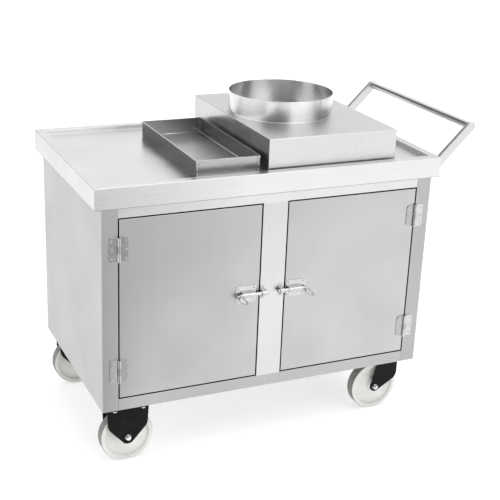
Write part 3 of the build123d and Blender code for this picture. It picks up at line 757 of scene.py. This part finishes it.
# ---------------------------------------------------------------- welds and seams
FOOT_RIPPLE = 0.12
FOOT_PITCH = 3.0 * MM
SEAM_AZIMUTH = -68
SEAM_MARGIN = 1.0 * MM
SEAM_PROUD = 0.05 * MM
HANDLE_BEAD = 2.0 * MM
HANDLE_RIPPLE = 0.15
BAR_BEAD = 1.2 * MM
BEAD_STEP = 0.55 * MM
SLAB_SOFT = 0.15 * MM
SPOT_SHARES = (0.2, 0.45, 0.7, 0.9)
SPOT_INSET = 5 * MM
LAP_INSET = 9 * MM


def collar_foot_bead(material):
    """The rippled weld bead round the collar's foot."""
    low, high = node_box("collar_weld")
    size = high.z - low.z
    inset = size * 0.15
    radius = (high.x - low.x) / 2 - size + inset
    centre = (low + high) / 2
    centre.z = low.z + inset
    mesh = bmesh.new()
    path = circle(centre, Vector((radius, 0, 0)), Vector((0, radius, 0)), 720)
    bead(mesh, path, size * 0.55, FOOT_RIPPLE, FOOT_PITCH)
    made = finish_piece("collar_foot_bead", mesh, material, "riser")
    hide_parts("collar_weld")


def collar_seam(material):
    """The dressed upright seam where the collar's rolled strip meets itself."""
    low, high = node_box("riser_collar")
    centre = (low + high) / 2
    angle = radians(SEAM_AZIMUTH)
    out = Vector((cos(angle), sin(angle), 0))
    side = Vector((centre.x, centre.y, 0)) + out * (high.x - low.x) / 2
    foot = side + Vector((0, 0, low.z + 2 * MM))
    top = side + Vector((0, 0, high.z - 1 * MM))
    mesh = bmesh.new()
    strip(mesh, foot, top, 1.6 * MM, out, 0.12 * MM)
    finish_piece("collar_seam", mesh, material, "riser", smooth=False)


def handle_welds(material):
    """Welds round the feet of the handle's arms and where the crossbar meets them."""
    mesh = bmesh.new()
    bar_low, bar_high = node_box("handle_bar")
    bar = (bar_low + bar_high) / 2
    bar_radius = (bar_high.x - bar_low.x) / 2
    fascia = node_box("worktop")[1].x
    for node, inner in (("handle_front_arm", bar_low.y), ("handle_back_arm", bar_high.y)):
        low, high = node_box(node)
        foot_top = low.z + 2 ** 0.5 * ARM_WIDTH
        around = ((low.y, low.z), (high.y, low.z), (high.y, foot_top), (low.y, foot_top), (low.y, low.z))
        corners = [Vector((fascia, y, z)) for y, z in around]
        bead(mesh, divided(corners, BEAD_STEP), HANDLE_BEAD, HANDLE_RIPPLE)
        end = Vector((bar.x, inner, bar.z))
        path = circle(end, Vector((bar_radius, 0, 0)), Vector((0, 0, bar_radius)), 150)
        bead(mesh, path, BAR_BEAD, HANDLE_RIPPLE)
    finish_piece("handle_welds", mesh, material, "cabinet")


def worktop_seams(material):
    """Mitred seams at the rim's corners."""
    low, high = node_box("worktop")
    mesh = bmesh.new()
    up = Vector((0, 0, 1))
    inset = SEAM_MARGIN
    for x, inward_x in ((low.x, 1), (high.x, -1)):
        for y, inward_y in ((low.y, 1), (high.y, -1)):
            outer = Vector((x + inward_x * inset, y + inward_y * inset, high.z))
            inner = outer + Vector((inward_x, inward_y, 0)) * (RIM_WIDTH - 1.5 * inset)
            strip(mesh, outer, inner, 0.5 * MM, up, 0.04 * MM)
    finish_piece("worktop_seams", mesh, material, "cabinet", smooth=False)


def frame_seams(material):
    """Fine joint lines where the rails meet the posts."""
    mesh = bmesh.new()
    front = Vector((0, -1, 0))
    rail_low, rail_high = node_box("bottom_rail")
    top_rail_low = node_box("top_rail")[0]
    fascia_low = node_box("worktop")[0]
    for x in (rail_low.x, rail_high.x):
        for foot, top in ((rail_low.z + SEAM_MARGIN, rail_high.z), (top_rail_low.z, fascia_low.z)):
            start, end = Vector((x, rail_low.y, foot)), Vector((x, rail_low.y, top))
            strip(mesh, start, end, 0.8 * MM, front, SEAM_PROUD)
    finish_piece("frame_seams", mesh, material, "cabinet", smooth=False)


def fascia_shadow_line(material):
    """A painted shadow line: a thin dark strip along the lower edge of the worktop's fascia, all round."""
    low, high = node_box("worktop")
    mesh = bmesh.new()
    width = 0.9 * MM
    lift = Vector((0, 0, width))
    corners = rectangle(low.x, low.y, high.x, high.y, low.z)
    for start, end in zip(corners, corners[1:]):
        along = (end - start).normalized()
        out = along.cross(Vector((0, 0, 1)))
        inset = along * SEAM_MARGIN
        strip(mesh, start + lift + inset, end + lift - inset, width, out, SEAM_PROUD)
    finish_piece("fascia_shadow_line", mesh, material, "cabinet", smooth=False)


def slab(mesh, low, high):
    """Adds a softened bar between two corners."""
    made = bmesh.ops.create_cube(mesh, size=1.0)
    centre = (low + high) / 2
    for vert in made["verts"]:
        for i in range(3):
            vert.co[i] = centre[i] + vert.co[i] * (high[i] - low[i])
    edges = {edge for vert in made["verts"] for edge in vert.link_edges}
    bmesh.ops.bevel(mesh, geom=list(edges), offset=SLAB_SOFT, segments=2, affect="EDGES")


def slab_frame(mesh, x0, x1, y0, y1, z0, z1, thick):
    """Adds four slabs round the inside of an upright opening."""
    slab(mesh, Vector((x0, y0, z0)), Vector((x0 + thick, y1, z1)))
    slab(mesh, Vector((x1 - thick, y0, z0)), Vector((x1, y1, z1)))
    slab(mesh, Vector((x0 + thick, y0, z0)), Vector((x1 - thick, y1, z0 + thick)))
    slab(mesh, Vector((x0 + thick, y0, z1 - thick)), Vector((x1 - thick, y1, z1)))


def door_gap_shading(material):
    """Black strips in the door gaps, behind the front face, that darken the gaps: painted shade.

    One strip lies on the jambs round each opening, and another runs round each door.
    """
    for side in ("left", "right"):
        low, high = node_box(side + "_door_skin")
        back = low.y + 16 * MM
        for name, body, out, front, thick in (
            ("_door_gap_shade", "cabinet", DOOR_GAP, 2.0 * MM, 1.0 * MM),
            ("_door_edge_shade", side + "_door", 0.6 * MM, 1.2 * MM, 0.6 * MM),
        ):
            mesh = bmesh.new()
            slab_frame(mesh, low.x - out, high.x + out, low.y + front, back, low.z - out, high.z + out, thick)
            finish_piece(side + name, mesh, material, body, smooth=False)


def tray_details(material, joint, bend_highlight):
    """The tray's spot welds and lap edges at its corners, and its bend lines and hemmed rim as rounds of much
    lighter steel: a painted highlight.
    """
    low, high = node_box("topping_tray")
    dome = [(0, 0.35 * MM), (0.8 * MM, 0.3 * MM), (1.4 * MM, 0.12 * MM)]
    spot = [*dome, (1.7 * MM, -0.05 * MM), (0, -0.05 * MM)]
    spots = bmesh.new()
    laps = bmesh.new()
    for x, out_x in ((low.x, -1), (high.x, 1)):
        for y, out_y in ((low.y, -1), (high.y, 1)):
            face = FACING_FRONT if out_y < 0 else FACING_BACK
            for share in SPOT_SHARES:
                centre = Vector((x - out_x * SPOT_INSET, y, low.z + (high.z - low.z) * share))
                lathe(spots, spot, Matrix.Translation(centre) @ face, 24, closed=False)
            edge = x - out_x * LAP_INSET
            foot, top = Vector((edge, y, low.z + 2 * MM)), Vector((edge, y, high.z - 1 * MM))
            strip(laps, foot, top, 0.6 * MM, Vector((0, out_y, 0)), 0.10 * MM)
    # painted highlight: rounds of much lighter steel along the inner folds and round the rim
    bend_highlight_strips = bmesh.new()
    wall = 2 * TRAY_WALL
    floor_z = low.z + TRAY_WALL
    upright = Vector((0, 0, high.z - floor_z - 1 * MM))
    loop = rectangle(low.x + wall, low.y + wall, high.x - wall, high.y - wall, floor_z)
    for start, end in zip(loop, loop[1:]):
        bead(bend_highlight_strips, [start, end], 1.1 * MM, ripple=0)
        bead(bend_highlight_strips, [start, start + upright], 0.6 * MM, ripple=0)
    half = TRAY_WALL * 0.5
    rim = rectangle(low.x + half, low.y + half, high.x - half, high.y - half, high.z - half)
    for start, end in zip(rim, rim[1:]):
        bead(bend_highlight_strips, [start, end], half * 1.15, ripple=0)
    finish_piece("tray_bend_highlights", bend_highlight_strips, bend_highlight, "topping_tray")
    finish_piece("tray_spot_welds", spots, material, "topping_tray")
    finish_piece("tray_laps", laps, joint, "topping_tray", smooth=False)


def rivets(material):
    """Domed blind rivets with a sunk middle, in place of the CAD node's plain heads."""
    mesh = bmesh.new()
    for low, high in islands("back_panel_rivets"):
        centre = Vector(((low.x + high.x) / 2, low.y, (low.z + high.z) / 2))
        radius = (high.x - low.x) / 2
        height = high.y - low.y
        sunk = [(0, height * 0.35), (radius * 0.28, height * 0.35), (radius * 0.34, height * 0.95)]
        dome = [(radius * 0.6, height), (radius * 0.85, height * 0.75), (radius, height * 0.25)]
        outline = [*sunk, *dome, (radius, 0), (0, 0)]
        lathe(mesh, outline, Matrix.Translation(centre) @ FACING_BACK, 40, closed=False)
    made = finish_piece("back_rivets", mesh, material, "cabinet")
    sharp_by_angle(made, 40)
    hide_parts("back_panel_rivets")


def caster_bolts(material):
    """Hexagonal bolts with washers, head below and nut above, in place of the CAD node's plain bolts."""
    mesh = bmesh.new()
    down = Matrix.Rotation(pi, 4, "X")
    up = Matrix.Identity(4)
    thick = 1.2 * MM
    gusset_low, gusset_high = node_box("caster_gussets")
    top = gusset_high.z
    bottom = gusset_low.z - CASTER_PLATE
    for low, high in islands("caster_bolts"):
        x, y = (low.x + high.x) / 2, (low.y + high.y) / 2
        radius = (high.x - low.x) / 2
        shank = [(0, bottom), (radius * 0.55, bottom), (radius * 0.55, top), (0, top)]
        lathe(mesh, shank, Matrix.Translation((x, y, 0)), 32, closed=False)
        washer(mesh, Vector((x, y, bottom)), radius, thick, down)
        hex_head(mesh, Vector((x, y, bottom - thick)), radius, bottom - thick - low.z, down)
        washer(mesh, Vector((x, y, top)), radius, thick, up)
        hex_head(mesh, Vector((x, y, top + thick)), radius, high.z - top - thick, up)
    made = finish_piece("caster_bolts_hex", mesh, material, "cabinet")
    sharp_by_angle(made, 30)
    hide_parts("caster_bolts")


# ---------------------------------------------------------------- finishes on the CAD nodes, with painted light and shade in the cabinet steel's tones
FINISH_AND_SHADE = {
    # the doors, sides, worktop, posts, mullion and rails are one steel, each in its own lighter or darker
    # tone: painted light and shade
    "door": brushed("steel_door", "Z", 0.525, 0.36),
    "sheet_along": brushed("steel_long_grain", "X", 0.52, 0.34),
    "side": brushed("steel_side", "Z", 0.52, 0.38),
    "worktop": brushed("steel_worktop", "X", 0.70, 0.31, 0.02),
    "left_post": brushed("steel_left_post", "Z", 0.52, 0.34),
    "right_post": brushed("steel_right_post", "Z", 0.42, 0.30, spread=0.35),
    "mullion": brushed("steel_mullion", "Z", 0.66, 0.32),
    "top_rail": brushed("steel_top_rail", "X", 0.66, 0.31),
    "bottom_rail": brushed("steel_bottom_rail", "X", 0.46, 0.33),
    "riser": brushed("steel_riser", "X", 0.62, 0.24, 0.025, edge=0.0024, spread=0.4, top_rough=0.18),
    "tray": brushed("steel_tray", "Y", 0.49, 0.27, 0.05, edge=0.0006, top_rough=0.06),
    "collar": brushed(
        "steel_collar", "X", 0.80, 0.19, 0.03, centre=middle("riser_collar"), edge=0.0005, spread=0.8,
    ),
    "bar": brushed("steel_handle_bar", "Y", 0.66, 0.24),
    "arm": brushed("steel_handle_arm", "X", 0.62, 0.30),
    # much lighter than the tray's steel: painted highlight along the tray's folds and rim
    "bend_highlight": brushed("steel_bend_highlight", "X", 0.92, 0.45, 0.03),
    "polished": polished("polished_steel"),
    "leaf": polished("hinge_leaf_steel", 0.44, 0.24),
    "bright": polished("bright_nut", 0.85, 0.16),
    "zinc": zinc("zinc_plate"),
    "black": black_paint("black_caster_paint"),
    "nylon": nylon("white_nylon"),
    "tread": tread_grime("scuffed_tread"),
    # near-black strips in the door gaps: painted shade
    "gap_shade_black": gap_shade_black("door_gap_shade_black"),
    "joint": dark_joint("seam_shadow"),
    "weld": weld("weld_bead"),
    "ground": brushed("ground_weld", "X", 0.40, 0.45, edge=0.0003),
}
NODE_FINISH_AND_SHADE = {
    "door": ["left_door_skin", "right_door_skin", "left_door_liner", "right_door_liner", "back_panel"],
    "side": ["left_side_panel", "right_side_panel"],
    "sheet_along": ["floor_panel", "frame_angles", "caster_gussets", "worktop_stiffeners"],
    "worktop": ["worktop"],
    "left_post": ["left_front_post"],
    "right_post": ["right_front_post"],
    "mullion": ["centre_mullion"],
    "top_rail": ["top_rail"],
    "bottom_rail": ["bottom_rail"],
    "riser": ["riser_box"],
    "tray": ["topping_tray"],
    "collar": ["riser_collar"],
    "bar": ["handle_bar"],
    "arm": ["handle_front_arm", "handle_back_arm"],
    "leaf": ["left_door_leaves", "right_door_leaves"],
    "polished": [
        "hinge_frame_leaves", "hinge_pins", "bolt_keepers",
        *[side + part for side in ("left", "right") for part in ("_bolt_barrel", "_bolt_rod", "_ring_pull")],
    ],
    "zinc": ["kingpins", *[node for node in nodes if node.endswith(("_bush", "_race"))]],
    "black": ["swivel_plates", *[node for node in nodes if node.endswith("_fork")]],
}


def paint_nodes():
    """Gives every CAD node its finish, the cabinet's steel parts each in a tone of painted light and shade,
    and zinc to those not listed.
    """
    finish_and_shade_of = {name: finish_and_shade for finish_and_shade, names in NODE_FINISH_AND_SHADE.items() for name in names}
    for name, node in nodes.items():
        node.data.materials.clear()
        node.data.materials.append(FINISH_AND_SHADE[finish_and_shade_of.get(name, "zinc")])


paint_nodes()
screws("cabinet_screws", "frame_screws", "cabinet", FINISH_AND_SHADE["polished"])
for door in ("left_door", "right_door"):
    screws(door + "_cross_screws", door + "_screws", door, FINISH_AND_SHADE["polished"])
for wheel_node in WHEELS:
    wheel(wheel_node, FINISH_AND_SHADE["nylon"], FINISH_AND_SHADE["tread"])
axle_piece("rigid_axle_bolts", "rigid_axles", "cabinet", FINISH_AND_SHADE["bright"])
for caster in ("swivel_front", "swivel_back"):
    axle_piece(caster + "_axle_bolt", caster + "_axle", caster + "_fork", FINISH_AND_SHADE["bright"])
collar_foot_bead(FINISH_AND_SHADE["weld"])
collar_seam(FINISH_AND_SHADE["ground"])
handle_welds(FINISH_AND_SHADE["weld"])
worktop_seams(FINISH_AND_SHADE["joint"])
frame_seams(FINISH_AND_SHADE["joint"])
# a painted shadow line along the lower edge of the fascia
fascia_shadow_line(FINISH_AND_SHADE["joint"])
# dark strips in the door gaps: painted shade
door_gap_shading(FINISH_AND_SHADE["gap_shade_black"])
tray_details(FINISH_AND_SHADE["weld"], FINISH_AND_SHADE["ground"], FINISH_AND_SHADE["bend_highlight"])
rivets(FINISH_AND_SHADE["zinc"])
caster_bolts(FINISH_AND_SHADE["zinc"])


# ---------------------------------------------------------------- floor, light and camera
FLOOR_REACH = 30
FLOOR_GLOW = 0.52
CARD_CORNERS = [
    (-1.5, -0.45), (-0.48, -0.45), (-0.17, -1.25), (0.14, -1.80), (0.58, -2.05), (0.90, -2.9), (-1.5, -2.9),
]
CARD_HEIGHT = 4 * MM
CARD_GLOW = 0.34
FRONT_AZIMUTH = radians(-115)
# degrees round from the front, anticlockwise from above, and how bright the studio is there
SKY = [
    (-180, 1.15), (-150, 1.15), (-140, 0.12), (-118, 0.08), (-108, 1.35), (-44, 1.40), (-35, 0.03),
    (18, 0.03), (25, 1.30), (72, 1.25), (86, 0.25), (128, 0.30), (142, 1.15), (180, 1.15),
]
OVERHEAD_START = 0.80
OVERHEAD_FULL = 0.96
PALE = grey(1.1)
KEY_PLACE = (0.8, -2.0, 3.8)
KEY_TARGET = (0.2, 0, 0.4)
KEY_SIZE = 2.5
KEY_POWER = 30
CAMERA_PLACE = (-1.306, -2.807, 1.647)
CAMERA_AZIMUTH = 24.95
CAMERA_ELEVATION = 20.74
CAMERA_ROLL = 2.37
CAMERA_LENS = 79.7
CAMERA_SENSOR = 36


def glowing(name, cloud_size, dark, light, rough, glow, specular=0.5):
    """A dull surface of a clouded grey that glows evenly."""
    shader = Shader(name)
    cloud = shader.noise(shader.place(), *cloud_size)
    shader.set(
        Base_Color=shader.mix(shader.between(cloud, 0.0, 1.0), grey(dark), grey(light)),
        Roughness=rough, Specular_IOR_Level=specular, Emission_Color=grey(1.0), Emission_Strength=glow,
    )
    return shader.material


def floor():
    """A plain pale floor, lit a little from below like a light table."""
    mesh = bmesh.new()
    bmesh.ops.create_grid(mesh, x_segments=2, y_segments=2, size=FLOOR_REACH)
    material = glowing("pale_floor", (0.8, 3.0), 0.80, 0.82, 0.8, FLOOR_GLOW, 0.1)
    placed("studio_floor", mesh, material)


def reflector_card():
    """A grey card low in front of the cart's left end, which only reflections show."""
    mesh = bmesh.new()
    mesh.faces.new([mesh.verts.new((x, y, CARD_HEIGHT)) for x, y in CARD_CORNERS])
    material = glowing("grey_card", (5.0, 2.0), 0.04, 0.05, 0.9, CARD_GLOW)
    made = placed("grey_card", mesh, material)
    made.visible_camera = False
    made.visible_diffuse = False
    made.visible_shadow = False


def key_light():
    """A square soft light above the front, which the camera doesn't see."""
    data = bpy.data.lights.new("key", "AREA")
    data.shape = "RECTANGLE"
    data.size = data.size_y = KEY_SIZE
    data.energy = KEY_POWER
    made = bpy.data.objects.new("key", data)
    bpy.context.scene.collection.objects.link(made)
    made.visible_camera = False
    made.location = KEY_PLACE
    made.rotation_euler = (Vector(KEY_TARGET) - Vector(KEY_PLACE)).to_track_quat("-Z", "Y").to_euler()


def studio():
    """Soft boxes all round with darker gaps between them, in front of a plain pale backdrop."""
    world = bpy.data.worlds.new("studio")
    bpy.context.scene.world = world
    sky = Tree(world)
    x, y, z = sky.split(sky.node("ShaderNodeTexCoord").outputs["Generated"])
    angle = sky.math("SUBTRACT", sky.math("ARCTAN2", y, x), FRONT_AZIMUTH)
    turned = sky.math("WRAP", angle, pi, -pi)
    share = sky.math("ADD", sky.math("MULTIPLY", turned, 1 / (2 * pi)), 0.5)
    ramp = sky.node("ShaderNodeValToRGB", Fac=share)
    elements = ramp.color_ramp.elements
    elements[0].position, elements[1].position = 0.0, 1.0
    elements[0].color = elements[1].color = grey(SKY[0][1])
    for degrees, level in SKY[1:-1]:
        elements.new((degrees + 180) / 360).color = grey(level)
    overhead = sky.between(z, 0.0, 1.0, OVERHEAD_START, OVERHEAD_FULL)
    lit = sky.mix(overhead, ramp.outputs[0], PALE)
    seen = sky.node("ShaderNodeLightPath").outputs["Is Camera Ray"]
    background = sky.node("ShaderNodeBackground", Color=sky.mix(seen, lit, PALE), Strength=1.0)
    sky.node("ShaderNodeOutputWorld", Surface=background.outputs[0])


def camera():
    """The view from the front left, a little above the worktop."""
    data = bpy.data.cameras.new("camera")
    data.lens = CAMERA_LENS
    data.sensor_width = CAMERA_SENSOR
    made = bpy.data.objects.new("camera", data)
    bpy.context.scene.collection.objects.link(made)
    turn = Matrix.Rotation(radians(-CAMERA_AZIMUTH), 4, "Z")
    tilt = Matrix.Rotation(radians(90 - CAMERA_ELEVATION), 4, "X")
    roll = Matrix.Rotation(radians(CAMERA_ROLL), 4, "Z")
    made.matrix_world = Matrix.Translation(CAMERA_PLACE) @ turn @ tilt @ roll
    bpy.context.scene.camera = made


floor()
studio()
key_light()
reflector_card()
camera()
bpy.context.scene.view_settings.view_transform = "Standard"
